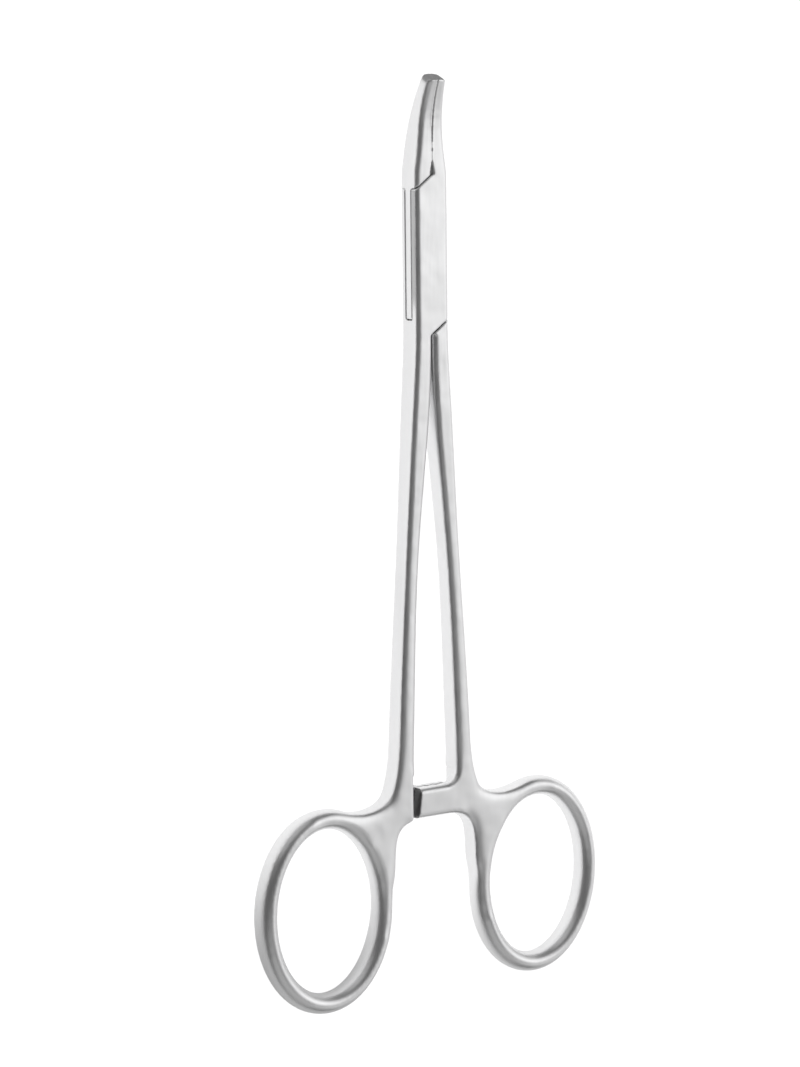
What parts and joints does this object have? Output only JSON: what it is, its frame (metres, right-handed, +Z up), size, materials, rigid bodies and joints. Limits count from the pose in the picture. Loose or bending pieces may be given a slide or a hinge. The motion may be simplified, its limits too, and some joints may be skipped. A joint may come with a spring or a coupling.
{
  "type": "needle holder",
  "caption": "Curved surgical needle holder with a box lock, a ratchet between the shanks and two finger rings.",
  "frame": {"origin": "under the middle of the instrument, on the face that it lies on", "axes": "+Y along the instrument from the finger rings to the jaws, +Z up out of the face it lies on, +X to the right across it"},
  "size_m": [0.0696, 0.15, 0.0062],
  "materials": {
    "satin_steel": "satin, fine blasted and brushed",
    "pin_steel": "satin, ground flush"
  },
  "bodies": {
    "box_side": {"box_half": "satin_steel", "pivot_pin": "pin_steel"},
    "tongue_side": {"tongue_half": "satin_steel"}
  },
  "joints": [
    {"name": "lock_pivot", "type": "hinge", "parent": "box_side", "child": "tongue_side", "pos_m": [0, 0.04625, 0.0022], "axis": [0, 0, 1], "range_deg": [0, 50]}
  ]
}
